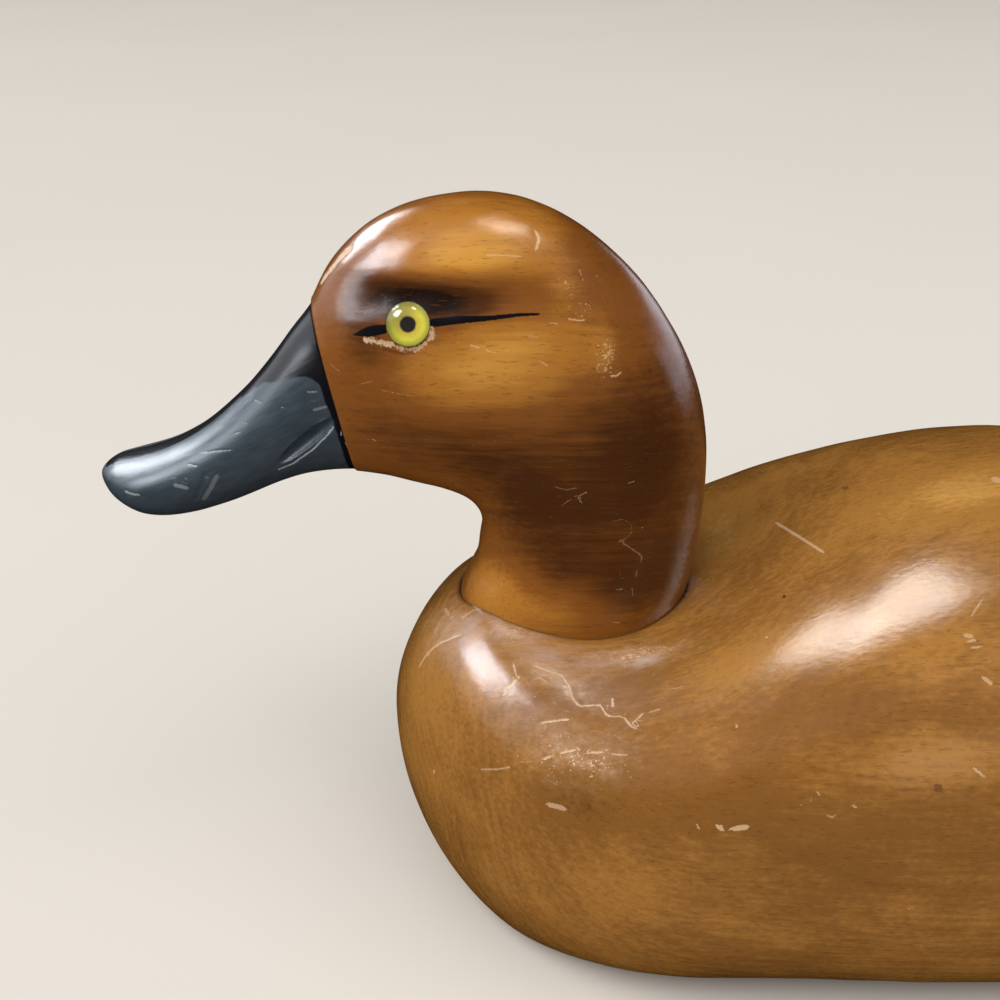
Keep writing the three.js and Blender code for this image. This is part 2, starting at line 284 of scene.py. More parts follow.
def even_positions(surface, first, last, count, weight):
    """Positions from first to last that lie evenly on the surface, closer where the weight is larger."""
    fine = first + (last - first) * (1 - np.cos(np.linspace(0, math.pi, MEASURING_STEPS))) / 2
    rows = [np.diff(lengths_along(surface(fine, angle))) for angle in QUARTER_TURNS]
    steps = np.mean(rows, axis=0) * weight((fine[1:] + fine[:-1]) / 2)
    length = np.concatenate([[0.0], np.cumsum(steps)])
    return np.interp(np.linspace(0, length[-1], count), length, fine)


def even_angles(surface, position, count):
    """Angles that lie evenly round the surface at one position."""
    fine = np.linspace(0, 2 * math.pi, MEASURING_STEPS)
    length = lengths_along(surface(position, fine))
    return np.interp(np.linspace(0, length[-1], count + 1)[:-1], length, fine)


def grid_normals(grid):
    """Outward normals of a grid of rings."""
    along = np.gradient(grid, axis=0)
    around = np.roll(grid, -1, axis=1) - np.roll(grid, 1, axis=1)
    normals = np.cross(around, along)
    size = np.linalg.norm(normals, axis=-1, keepdims=True)
    return normals / np.maximum(size, 1e-9)


def skin_faces(rings, sides):
    """Faces of a closed skin: four-sided between rings, and a fan round the point at each end."""
    ring = np.arange(rings - 1)[:, None] * sides
    side = np.arange(sides)[None, :]
    following = (side + 1) % sides
    quads = np.stack([ring + side, ring + following, ring + sides + following, ring + sides + side], axis=-1)
    first, last = rings * sides, rings * sides + 1
    base = (rings - 1) * sides
    start = [(first, (k + 1) % sides, k) for k in range(sides)]
    end = [(last, base + k, base + (k + 1) % sides) for k in range(sides)]
    return quads.reshape(-1, 4).tolist() + start + end


def closed_skin(rings, start=None, end=None):
    """Points and faces of a skin, closed at each end by the given point or by the middle of its last ring."""
    start = rings[0].mean(axis=0) if start is None else start
    end = rings[-1].mean(axis=0) if end is None else end
    return np.concatenate([rings.reshape(-1, 3), [start, end]]), skin_faces(*rings.shape[:2])


def new_object(name, data):
    placed = bpy.data.objects.new(name, data)
    bpy.context.scene.collection.objects.link(placed)
    return placed


def new_mesh_object(name, points, faces):
    """A mesh object from points in millimetres from the eyes."""
    mesh = bpy.data.meshes.new(name)
    mesh.from_pydata(((np.asarray(points) + [EYE_X, 0, 0]) * MM).tolist(), [], faces)
    mesh.update()
    return new_object(name, mesh)


def mesh_points(piece):
    """Points of a mesh object, in millimetres from the eyes."""
    flat = np.empty(len(piece.data.vertices) * 3, dtype=np.float32)
    piece.data.vertices.foreach_get("co", flat)
    return flat.reshape(-1, 3).astype(float) / MM - [EYE_X, 0, 0]


def cut_away(piece, tools):
    """Cuts the tool objects out of a piece, then removes them."""
    for tool in tools:
        modifier = piece.modifiers.new("cut", "BOOLEAN")
        modifier.operation = "DIFFERENCE"
        modifier.solver = "MANIFOLD"
        modifier.object = tool
    evaluated = piece.evaluated_get(bpy.context.evaluated_depsgraph_get())
    cut = bpy.data.meshes.new_from_object(evaluated)
    piece.modifiers.clear()
    old = piece.data
    piece.data = cut
    bpy.data.meshes.remove(old)
    cut.name = piece.name
    for tool in tools:
        mesh = tool.data
        bpy.data.objects.remove(tool)
        bpy.data.meshes.remove(mesh)


def shade_smooth(piece, sharp_degrees):
    """Smooth shading, with a crisp edge where faces meet at more than the given angle."""
    piece.data.shade_smooth()
    piece.data.set_sharp_from_angle(angle=math.radians(sharp_degrees))


def waves(points, wavelength):
    """Smooth random waviness between about -1 and 1."""
    directions = random.normal(size=(WAVES_ADDED, 3))
    directions /= np.linalg.norm(directions, axis=1, keepdims=True)
    lengths = wavelength * random.uniform(*WAVE_SPREAD, WAVES_ADDED)
    phases = random.uniform(0, 2 * math.pi, WAVES_ADDED)
    total = np.zeros(points.shape[:-1])
    for direction, length, phase in zip(directions, lengths, phases):
        total += np.sin(points @ direction * (2 * math.pi / length) + phase)
    return total / math.sqrt(WAVES_ADDED)


# The photograph's line of sight.
SIGHT_AHEAD = np.array([0, math.cos(CAMERA_PITCH), -math.sin(CAMERA_PITCH)])
SIGHT_UP = np.array([0, math.sin(CAMERA_PITCH), math.cos(CAMERA_PITCH)])
SIGHT_RIGHT = np.array([1.0, 0, 0])


class Carving:
    """The surfaces without relief, for finding where the photograph's pixels lie on them."""

    def __init__(self, **skins):
        self.trees = {}
        for name, (points, faces) in skins.items():
            self.trees[name] = BVHTree.FromPolygons(points.tolist(), faces)

    def seen(self, across, down):
        """Point and normal at a pixel of the photograph."""
        across, down = across - PICTURE / 2, down - PICTURE / 2
        sight = Vector(SIGHT_AHEAD * FOCAL_PIXELS + SIGHT_RIGHT * across - SIGHT_UP * down)
        hits = [tree.ray_cast(Vector(CAMERA_FROM_EYES), sight) for tree in self.trees.values()]
        point, normal, _, _ = min((hit for hit in hits if hit[0] is not None), key=lambda hit: hit[3])
        return point, normal

    def row(self, pixels):
        """Points and normals at a row of pixels."""
        found = [self.seen(*pixel) for pixel in zip(pixels[::2], pixels[1::2])]
        return np.array(found).swapaxes(0, 1)


# Wear of the left side, with a painted catch-light and a painted shadow line among it, and the eye lines and
# stain of both, the stain partly painted light and shade. Places are pixels of the photograph, across and
# down; half widths and radii are in millimetres. Each line has its places, half width and strength.
HEAD_PALE_LINES = [
    ((457, 342, 462, 344), 0.16, 0.8), ((470, 345, 480, 348), 0.28, 1),
    ((485, 349, 490, 352, 497, 353), 0.26, 1), ((504, 350, 510, 352), 0.16, 0.7),
    ((539, 361, 550, 367), 0.28, 1), ((549, 323, 559, 324), 0.24, 0.9), ((527, 337, 538, 337), 0.3, 0.4),
    ((381, 390, 399, 394, 414, 396), 0.16, 0.8), ((331, 364, 340, 371), 0.18, 0.7),
    ((361, 384, 373, 381), 0.22, 0.4), ((535, 231, 539, 238, 536, 250), 0.5, 1),
    ((486, 255, 505, 255, 522, 257), 0.35, 0.5), ((567, 319, 576, 320), 0.3, 1),
    ((578, 321, 585, 320), 0.3, 0.9), ((577, 270, 583, 270), 0.25, 0.8), ((593, 274, 600, 277), 0.25, 0.9),
    ((611, 376, 617, 376, 621, 372), 0.35, 1), ((555, 487, 566, 490, 576, 488), 0.3, 0.2),
    ((587, 492, 577, 497, 582, 503), 0.28, 0.45), ((628, 483, 635, 481), 0.25, 0.5),
    ((612, 521, 622, 519, 631, 523, 632, 532, 625, 539, 616, 539), 0.22, 0.22),
    ((616, 539, 631, 548, 642, 556, 641, 563), 0.3, 0.3), ((638, 569, 635, 579), 0.25, 0.3),
    ((632, 587, 633, 596), 0.22, 0.4), ((616, 590, 624, 589), 0.3, 0.35), ((613, 622, 620, 623), 0.3, 0.35),
    ((581, 277, 584, 281), 0.3, 0.7), ((372, 439, 376, 441), 0.3, 0.7),
]
EYE_LINES = [
    ((353, 335, 362, 333, 371, 331, 385, 329), [0.1, 0.8, 1.25, 1.1], 1),
    ((432, 323, 457, 320, 491, 318, 516, 315, 539, 314), [1, 0.9, 0.55, 0.42, 0.28], 1),
]
# The first line is a painted shadow under the eye's lower rim, also carved as a shallow crease; the second is
# a crease in the bill.
HEAD_SHADOW_AND_CREASE_LINES = [
    ((383, 349, 403, 354, 416, 352), 0.4, 0.5), ((206, 474, 204, 482, 198, 493, 196, 499), 0.65, 0.6),
]
BILL_SCRATCHES_AND_CATCH_LIGHT = [
    ((200, 453, 215, 451, 232, 450), 0.22, 1), ((233, 434, 240, 432), 0.2, 0.7),
    ((242, 423, 247, 423), 0.18, 0.6), ((255, 400, 262, 403), 0.22, 0.8), ((281, 407, 284, 408), 0.22, 0.7),
    ((307, 392, 317, 392), 0.3, 0.5), ((314, 410, 326, 407), 0.5, 0.3), ((187, 464, 196, 466), 0.28, 0.8),
    ((175, 485, 187, 488), 0.6, 0.4), ((171, 477, 175, 478), 0.22, 0.5), ((184, 478, 187, 479), 0.22, 0.6),
    ((205, 477, 208, 478), 0.22, 0.6), ((125, 491, 131, 494, 139, 495), 0.42, 0.6),
    ((217, 476, 210, 489, 204, 499), 0.7, 0.22),
    # Painted catch-light along the lower lip of the mouth gouge.
    ((279, 470, 293, 464, 313, 450, 327, 436, 333, 428), 0.36, 1), ((340, 432, 341, 436), 0.25, 0.8),
    ((345, 443, 347, 448), 0.25, 0.8), ((349, 452, 352, 459), 0.22, 0.8),
]
BODY_PALE_LINES = [
    ((419, 667, 428, 652, 441, 643, 461, 635), 0.45, 0.8), ((428, 655, 432, 648, 443, 641), 0.55, 0.6),
    ((424, 628, 434, 611), 0.4, 0.5), ((462, 619, 476, 608), 0.5, 0.5), ((445, 609, 449, 615), 0.6, 0.5),
    ((513, 664, 515, 672), 0.4, 0.6), ((504, 695, 511, 686, 519, 677), 0.5, 0.9),
    ((499, 676, 506, 688), 0.3, 0.5),
    ((531, 664, 543, 669, 562, 675, 570, 687, 572, 697, 579, 706, 600, 704), 0.36, 0.75),
    ((600, 704, 607, 716, 624, 716, 629, 726, 643, 713), 0.32, 0.75),
    ((532, 680, 541, 677, 548, 684), 0.3, 0.5), ((629, 726, 641, 730), 0.3, 0.5),
    ((649, 712, 662, 708), 0.28, 0.6), ((541, 723, 552, 721, 570, 719), 0.38, 0.9),
    ((612, 698, 613, 707), 0.45, 0.9), ((480, 769, 498, 769, 511, 767), 0.33, 0.7),
    ((433, 771, 433, 773), 0.6, 0.9), ((445, 805, 446, 807), 0.35, 0.6),
    ((548, 804, 557, 806, 566, 809), 0.75, 0.7), ((519, 762, 535, 761), 0.25, 0.5),
    ((543, 759, 552, 756), 0.45, 0.9), ((560, 753, 575, 750), 0.4, 0.9), ((587, 753, 603, 752), 0.35, 0.7),
    ((612, 754, 627, 755), 0.35, 0.6), ((664, 689, 675, 688, 686, 685), 0.25, 0.4),
    ((776, 523, 800, 538, 824, 553), 0.55, 0.8), ((995, 477, 997, 480), 1.3, 0.7),
    ((964, 635, 972, 636), 0.6, 0.6), ((970, 648, 983, 646), 0.4, 0.6), ((983, 677, 993, 685), 0.6, 0.7),
    ((973, 768, 985, 777), 0.45, 0.9), ((816, 791, 821, 796), 0.3, 0.8),
    ((826, 814, 831, 818, 836, 813), 0.3, 0.6), ((852, 805, 857, 807), 0.45, 0.8),
    ((800, 804, 801, 805), 0.4, 0.8), ((736, 724, 737, 727), 0.45, 0.7), ((766, 637, 768, 639), 0.45, 0.7),
    ((697, 825, 699, 828), 0.5, 0.9), ((718, 826, 722, 829), 0.8, 1), ((733, 829, 747, 827), 0.8, 1),
    ((971, 616, 982, 599), 0.35, 0.4),
]
BODY_DARK_LINES = [
    ((784, 596, 785, 598), 0.5, 1), ((844, 488, 847, 489), 0.9, 0.5),
    ((937, 787, 939, 789), 1.1, 0.5), ((691, 702, 694, 703), 0.4, 0.7),
]
# Chips down to bare wood: the places along each, and its radius.
HEAD_CHIPS = [
    ((322, 281, 332, 268, 341, 257, 350, 249), 0.8), ((366, 340, 377, 342, 392, 345), 0.6),
    ((399, 348, 412, 351, 423, 346, 431, 338, 432, 329), 0.5),
]
# Soft areas of darker (negative) or lighter (positive) tone, partly real stain and partly painted light and
# shade: the lit brow, crown, front of the neck and band along the shoulder are lighter, and the body behind
# the neck is lifted out of shade;
# the shaded neck, lower cheek and back of the head are darker. Each gives place, radius along x, radius
# across, amount.
HEAD_TONE, BODY_TONE = 0.5, 0.54  # away from them
HEAD_STAIN_AND_LIGHT_TONES = [
    (450, 260, 16, 5, 0.22), (510, 235, 24, 10, 0.2), (500, 352, 22, 8, 0.32), (470, 386, 20, 6, 0.16),
    (425, 303, 9, 3, -0.4), (395, 297, 10, 3.5, -0.26), (362, 318, 7, 8, -0.18), (372, 268, 13, 7, -0.14),
    (450, 290, 14, 4, -0.16), (465, 312, 11, 3, -0.24), (505, 294, 16, 3.6, -0.14),
    (375, 400, 12, 16, -0.12), (450, 450, 24, 9, -0.15), (440, 340, 7, 4, -0.16), (374, 353, 8, 3.5, -0.14),
    (600, 500, 30, 24, -0.24), (530, 500, 10, 10, -0.08), (660, 400, 14, 24, -0.16),
    (675, 550, 8, 18, -0.1), (492, 592, 9, 9, 0.22), (560, 615, 12, 6, 0.12), (603, 352, 3, 6, 0.12),
    (565, 290, 4, 4, 0.14), (592, 250, 11, 10, -0.18), (625, 590, 14, 10, -0.14), (555, 570, 8, 8, -0.08),
]
BODY_STAIN_AND_LIGHT_TONES = [
    (430, 700, 12, 26, 0.08), (640, 655, 12, 5, 0.08), (740, 660, 22, 8, 0.1), (960, 490, 26, 14, 0.22),
    (960, 640, 16, 8, 0.08), (570, 800, 14, 8, -0.16), (660, 805, 24, 8, -0.12), (860, 710, 24, 8, -0.1),
    (900, 820, 40, 14, -0.1), (950, 765, 20, 7, 0.16), (720, 530, 9, 14, 0.24), (600, 690, 14, 7, -0.1),
]
# Rubbed areas where the varnish is cloudy and scattered with pale specks, partly painted sheen and glints of
# light on the rubbed varnish.
HEAD_WORN_AND_GLINTS = [
    (607, 355, 2, 5, 1), (565, 287, 3, 3, 0.8), (584, 312, 2, 3, 0.8), (560, 370, 20, 10, 0.25),
]
BODY_WORN_AND_GLINTS = [
    (515, 628, 9, 6, 0.8), (640, 652, 12, 4, 0.9), (600, 766, 12, 4, 0.5), (560, 755, 20, 6, 0.5),
    (440, 625, 8, 8, 0.6), (560, 690, 22, 10, 0.3),
]
# Pale bloom in the varnish, and a painted lilac reflection on the varnish below the neck.
BODY_BLOOM_AND_SHEEN = [
    (515, 630, 9, 4.5, 0.45), (560, 660, 11, 5, 0.42), (640, 660, 8, 2.5, 0.75), (470, 620, 6, 6, 0.35),
    (600, 700, 12, 7, 0.12),
]


def line_fields(points, lines, carving):
    """For each point, the distance across the nearest line, that line's half width there, and its strength.

    The distance is signed, and the half width runs on below zero past the ends, so both change evenly.
    """
    reach = 6.0
    across = np.full(len(points), reach)
    half = np.full(len(points), -reach)
    strength = np.zeros(len(points))
    nearest = np.full(len(points), reach)
    for pixels, half_widths, amount in lines:
        corners, normals = carving.row(pixels)
        half_widths = np.broadcast_to(half_widths, len(corners))
        for i in range(len(corners) - 1):
            start, step = corners[i], corners[i + 1] - corners[i]
            length = np.linalg.norm(step)
            ahead = step / length
            sideways = np.cross(normals[i], ahead)
            sideways /= np.linalg.norm(sideways)
            close = np.flatnonzero(np.abs(points - start).max(axis=1) < reach + length)
            offset = points[close] - start
            along = offset @ ahead
            held = np.clip(along, 0, length)
            distance = np.linalg.norm(offset - held[:, None] * ahead, axis=1)
            better = distance < nearest[close]
            chosen = close[better]
            nearest[chosen] = distance[better]
            across[chosen] = (offset @ sideways)[better]
            beyond = np.maximum(-along, along - length)
            at_end = (i == 0) & (along < 0) | (i == len(corners) - 2) & (along > length)
            width = half_widths[i] + (half_widths[i + 1] - half_widths[i]) * held / length
            half[chosen] = (width - np.where(at_end, beyond, 0))[better]
            strength[chosen] = amount
    return across, half, strength


def chip_field(points, chips, carving):
    """Signed distance to the nearest chip, negative inside."""
    reach = 9.0
    field = np.full(len(points), reach)
    for pixels, radius in chips:
        corners = carving.row(pixels)[0]
        for start, end in zip(corners[:-1], corners[1:]):
            step = end - start
            share = np.clip((points - start) @ step / (step @ step), 0, 1)
            distance = np.linalg.norm(points - start - share[:, None] * step, axis=1) - radius
            field = np.minimum(field, distance)
    return field


def blob_field(points, blobs, carving, start=0.0, both_sides=False):
    """Sum of soft blobs round places of the photograph."""
    total = np.full(len(points), start)
    beside = np.abs(points[:, 1]) if both_sides else -points[:, 1]
    for across, down, along, around, amount in blobs:
        centre = carving.seen(across, down)[0]
        apart = (points[:, 0] - centre[0]) ** 2 / along**2
        apart += ((beside + centre[1]) ** 2 + (points[:, 2] - centre[2]) ** 2) / around**2
        total += amount * np.exp(-apart)
    return total


def path_distance(points, path):
    """Signed distance in side view to an open path of (x, z) points, positive on the path's left."""
    x, z = points[:, 0], points[:, 2]
    nearest = np.full(len(points), np.inf)
    signed = np.zeros(len(points))
    for start, end in zip(path[:-1], path[1:]):
        step_x, step_z = end - start
        length = math.hypot(step_x, step_z)
        dx, dz = x - start[0], z - start[1]
        along = np.clip((dx * step_x + dz * step_z) / length, 0, length)
        distance = np.hypot(dx - along * step_x / length, dz - along * step_z / length)
        side = np.sign(step_x * dz - step_z * dx)
        better = distance < nearest
        nearest[better] = distance[better]
        signed[better] = (side * distance)[better]
    return signed


def smooth_path(corners):
    """A smooth path through a few (x, z) corners."""
    corners = np.array(corners, dtype=float)
    knots = lengths_along(corners)
    at = np.linspace(0, knots[-1], PATH_STEPS * (len(corners) - 1) + 1)
    return np.stack([natural_spline(knots, column)(at) for column in corners.T], axis=-1)


def seam_position(position, angle):
    """Moves a section of the table back on the sides near the seam, so that one ring follows the seam."""
    near = np.exp(-((position - SEAM_SECTION) / SEAM_BOW_REACH) ** 2)
    return position + SEAM_BOW * np.abs(np.cos(angle)) ** SEAM_BOW_SHAPE * near


def head_skin(position, angle):
    return head_surface(seam_position(position, angle), angle)


# Black paint on the bill: a stripe along its top, partly a painted shade on the top of the bill, and all
# behind this path, seen from the side.
STRIPE_HALF_WIDTH = 3.2
STRIPE_END_Z = HEAD_SECTIONS[0, 1] - 1
FAR_OUTSIDE = 20.0
SLATE_EDGE = [
    (-47, 136.5), (-41.8, 137.6), (-36, 141.8), (-30, 143.9), (-24.5, 145.1), (-21.8, 143.8), (-20.4, 140.2),
    (-18.9, 136), (-17.7, 131), (-16.7, 125.5), (-15.9, 120), (-15.5, 115),
]


def head_grid():
    """Rings of the head and bill, with the seam as one of them."""
    def weight(position):
        return 1.0 - HEAD_COARSER * smooth_step(HEAD_COARSER_FROM, HEAD_COARSER_TO, position)

    positions = even_positions(head_skin, 0.0, HEAD_KNOTS[-1], HEAD_RINGS + 1, weight)[1:]
    angles = even_angles(head_skin, CROWN_SECTION, HEAD_SIDES)
    return head_skin(positions[:, None], angles[None, :])


def body_grid():
    """Rings of the body."""
    def weight(x):
        return 1.0 - BODY_COARSER * smooth_step(BODY_COARSER_FROM, BODY_COARSER_TO, x)

    first, last = BODY_SECTIONS[0, 0], BODY_SECTIONS[-1, 0]
    positions = even_positions(body_surface, first, last, BODY_RINGS + 2, weight)[1:-1]
    angles = even_angles(body_surface, SHOULDER_X, BODY_SIDES)
    return body_surface(positions[:, None], angles[None, :])


def nearest_distance(points, tree, reach):
    """Distance from each point to a surface, or `reach` where it is farther than that."""
    found = np.full(len(points), reach)
    for index, point in enumerate(points):
        distance = tree.find_nearest(Vector(point), reach)[3]
        if distance is not None:
            found[index] = distance
    return found


def groove(across, half, strength):
    """Rounded groove along a line, 0 to 1."""
    width = np.maximum(half, GROOVE_LEAST)
    inside = np.clip(half / GROOVE_FULL, 0, 1)
    return strength * inside * np.exp(-((across / width) ** 2))


LINE_FIELDS = ("_across", "_half", "_strength")


def set_attribute(piece, name, values):
    attribute = piece.data.attributes.new(name, "FLOAT", "POINT")
    attribute.data.foreach_set("value", np.asarray(values, dtype=np.float32))


def set_line_attributes(piece, points, carving, **lines):
    """Gives the piece's points their place in its lines, under the names that its material reads."""
    for name, rows in lines.items():
        for end, values in zip(LINE_FIELDS, line_fields(points, rows, carving)):
            set_attribute(piece, name + end, values)


def mirrored(points):
    """The same points, all on the left side."""
    return points * [1, 0, 1] - np.abs(points) * [0, 1, 0]


def seam_distance(points):
    """Signed distance from the seam between bill and head, positive on bare wood."""
    angles = np.linspace(math.pi / 2, -math.pi / 2, SEAM_POINTS)
    path = head_skin(np.full(SEAM_POINTS, SEAM_SECTION), angles)[:, [0, 2]]
    ahead = path[0] + (path[0] - path[1]) * SEAM_OVERRUN
    below = path[-1] + (path[-1] - path[-2]) * SEAM_OVERRUN
    return path_distance(points, np.concatenate([[ahead], path, [below]]))


def black_distance(points):
    """Signed distance from the edge between slate and black on the bill, positive on black."""
    behind = path_distance(points, smooth_path(SLATE_EDGE))
    # The stripe along the top is partly a painted shade on the bill's top.
    stripe = STRIPE_HALF_WIDTH - np.abs(points[:, 1])
    stripe[points[:, 2] < STRIPE_END_Z] -= FAR_OUTSIDE
    return np.maximum(behind, stripe)


def eye_axes(side):
    """Middle of an eye and the way it faces."""
    outward = np.array([-EYE_TURN_FORWARD, side, EYE_TILT_UP])
    return np.array([0, side * EYE_SIDE, EYE_Z]), outward / np.linalg.norm(outward)


def turned(name, profile, side, count=EYE_SIDES):
    """A solid of revolution in an eye's place, from (radius, height) points from axis to axis."""
    profile = np.array(profile, dtype=float)
    angles = np.linspace(0, 2 * math.pi, count, endpoint=False)
    radii, heights = profile[1:-1, :1], profile[1:-1, 1:]
    heights = np.repeat(heights, count, axis=1)
    rings = np.stack([radii * np.cos(angles), radii * np.sin(angles), heights], axis=-1)
    points, faces = closed_skin(rings, (0, 0, profile[0, 1]), (0, 0, profile[-1, 1]))
    middle, outward = eye_axes(side)
    turn = np.array(Vector(outward).to_track_quat("Z", "Y").to_matrix())
    return new_mesh_object(name, points @ turn.T + middle, faces)


def step_profile(radius, low, high):
    """Profile of a disc: (radius, height) points."""
    return [(0, low), (radius, low), (radius, high), (0, high)]


def glass_profile():
    """A flat back, a straight side inside the enamel's wall and a domed front."""
    steps = np.linspace(0, math.pi / 2, DOME_STEPS)[:-1]
    front = [(EYE_RADIUS * math.cos(a), (EYE_DOME + EYE_RIM) * math.sin(a) - EYE_RIM) for a in steps]
    inner = EYE_RADIUS - ENAMEL_WALL - GLASS_PLAY
    back = [(0, -IRIS_DEPTH), (inner, -IRIS_DEPTH), (inner, -EYE_RIM - GLASS_LEDGE)]
    return back + front + [(0, EYE_DOME)]


def enamel_profile():
    """A cup behind the glass."""
    reaches = np.linspace(0, EYE_RADIUS - ENAMEL_WALL, ENAMEL_STEPS)[:0:-1]
    top = -EYE_RIM - ENAMEL_DROP
    wall = [(0, -EYE_BACK), (EYE_RADIUS, -EYE_BACK), (EYE_RADIUS, top), (reaches[0], top)]
    return wall + [(reach, ENAMEL_FLOOR) for reach in reaches] + [(0, ENAMEL_FLOOR)]


# Relief that is too fine for the frame's solids, in millimetres. Waves are pairs of height and length.
SEAM_FADE = 5.0
SINK_EDGE, RIM_EDGE, CHIP_EDGE = (-0.5, 0.1), (-0.1, 0.4), (-0.6, 0.5)  # over which each sets in
RIM_HEIGHT = 0.15
CHIP_DEPTH = 0.2
SCRATCH_DEPTH = 0.12
GROOVE_LEAST, GROOVE_FULL = 0.05, 0.3  # half widths
CREASE_DEPTH = 0.35
JOINT_ROUNDING = 0.6
JOINT_WIDTH = 1.6
JOINT_REACH = 12.0
HEAD_WAVES = ((0.1, 26.0), (0.03, 8.0))
BODY_WAVES = ((0.22, 60.0), (0.05, 16.0))


def head_relief(points, carving):
    """Depth of the fine relief at each point of the head."""
    seam = seam_distance(points)
    sunk = SEAM_STEP * (1 - smooth_step(*SINK_EDGE, seam)) * np.exp(np.minimum(seam, 0) / SEAM_FADE)
    raised = RIM_HEIGHT * smooth_step(*RIM_EDGE, seam) * np.exp(-np.maximum(seam, 0) / SEAM_FADE)
    chips = chip_field(points, HEAD_CHIPS, carving)
    depth = sunk - raised + CHIP_DEPTH * (1 - smooth_step(*CHIP_EDGE, chips))
    depth += SCRATCH_DEPTH * groove(*line_fields(points, HEAD_PALE_LINES + BILL_SCRATCHES_AND_CATCH_LIGHT, carving))
    depth += CREASE_DEPTH * groove(*line_fields(points, HEAD_SHADOW_AND_CREASE_LINES, carving))
    return depth + sum(height * waves(points, length) for height, length in HEAD_WAVES)


def body_relief(points, carving):
    """Depth of the fine relief at each point of the body."""
    to_neck = nearest_distance(points, carving.trees["head"], JOINT_REACH)
    depth = JOINT_ROUNDING * np.exp(-((to_neck / JOINT_WIDTH) ** 2))
    depth += SCRATCH_DEPTH * groove(*line_fields(points, BODY_PALE_LINES, carving))
    return depth + sum(height * waves(points, length) for height, length in BODY_WAVES)


def carved(rings, relief, carving):
    """Rings with their fine relief."""
    depth = relief(rings.reshape(-1, 3), carving).reshape(*rings.shape[:2], 1)
    return rings - grid_normals(rings) * depth


def build_shapes():
    """Head and body with their relief, and their surfaces before it."""
    head_rings, body_rings = head_grid(), body_grid()
    head_tip = head_skin(0.0, 0.0)
    breast, tail = ((section[0], 0, section[4]) for section in BODY_SECTIONS[[0, -1]])
    carving = Carving(head=closed_skin(head_rings, head_tip), body=closed_skin(body_rings, breast, tail))

    head = new_mesh_object("head_and_bill", *closed_skin(carved(head_rings, head_relief, carving), head_tip))
    socket = step_profile(EYE_RADIUS + CLEARANCE / 2, -EYE_BACK - CLEARANCE, SOCKET_TOP)
    cut_away(head, [turned("socket", socket, side) for side in (-1, 1)])

    body = new_mesh_object("body_block", *closed_skin(carved(body_rings, body_relief, carving), breast, tail))
    positions = np.linspace(POCKET_TOP_SECTION, HEAD_KNOTS[-1], POCKET_RINGS)
    angles = even_angles(head_skin, POCKET_MIDDLE_SECTION, POCKET_SIDES)
    pocket = head_surface(positions[:, None], angles[None, :], CLEARANCE)
    pocket[-1, :, 2] -= CLEARANCE
    tools = [("pocket", closed_skin(pocket)), ("below", (BELOW_CORNERS, BELOW_FACES))]
    cut_away(body, [new_mesh_object(name, *skin) for name, skin in tools])
    return head, body, carving


def mark_head(head, carving):
    """Gives the head's points the distances that its material reads."""
    points = mesh_points(head)
    set_attribute(head, "seam", seam_distance(points))
    set_attribute(head, "black", black_distance(points))
    set_attribute(head, "tone", blob_field(points, HEAD_STAIN_AND_LIGHT_TONES, carving, HEAD_TONE, both_sides=True))
    set_attribute(head, "worn_and_glints", blob_field(points, HEAD_WORN_AND_GLINTS, carving))
    set_attribute(head, "chip", chip_field(points, HEAD_CHIPS, carving))
    set_line_attributes(head, mirrored(points), carving, eye_line=EYE_LINES)
    head_lines = {"pale": HEAD_PALE_LINES, "bill_pale": BILL_SCRATCHES_AND_CATCH_LIGHT, "dark": HEAD_SHADOW_AND_CREASE_LINES}
    set_line_attributes(head, points, carving, **head_lines)


def mark_body(body, carving):
    """Gives the body's points the distances that its material reads."""
    points = mesh_points(body)
    set_attribute(body, "tone", blob_field(points, BODY_STAIN_AND_LIGHT_TONES, carving, BODY_TONE))
    set_attribute(body, "worn_and_glints", blob_field(points, BODY_WORN_AND_GLINTS, carving))
    set_attribute(body, "bloom_and_sheen", blob_field(points, BODY_BLOOM_AND_SHEEN, carving))
    set_attribute(body, "joint", nearest_distance(points, carving.trees["head"], JOINT_REACH))
    set_line_attributes(body, points, carving, pale=BODY_PALE_LINES, dark=BODY_DARK_LINES)


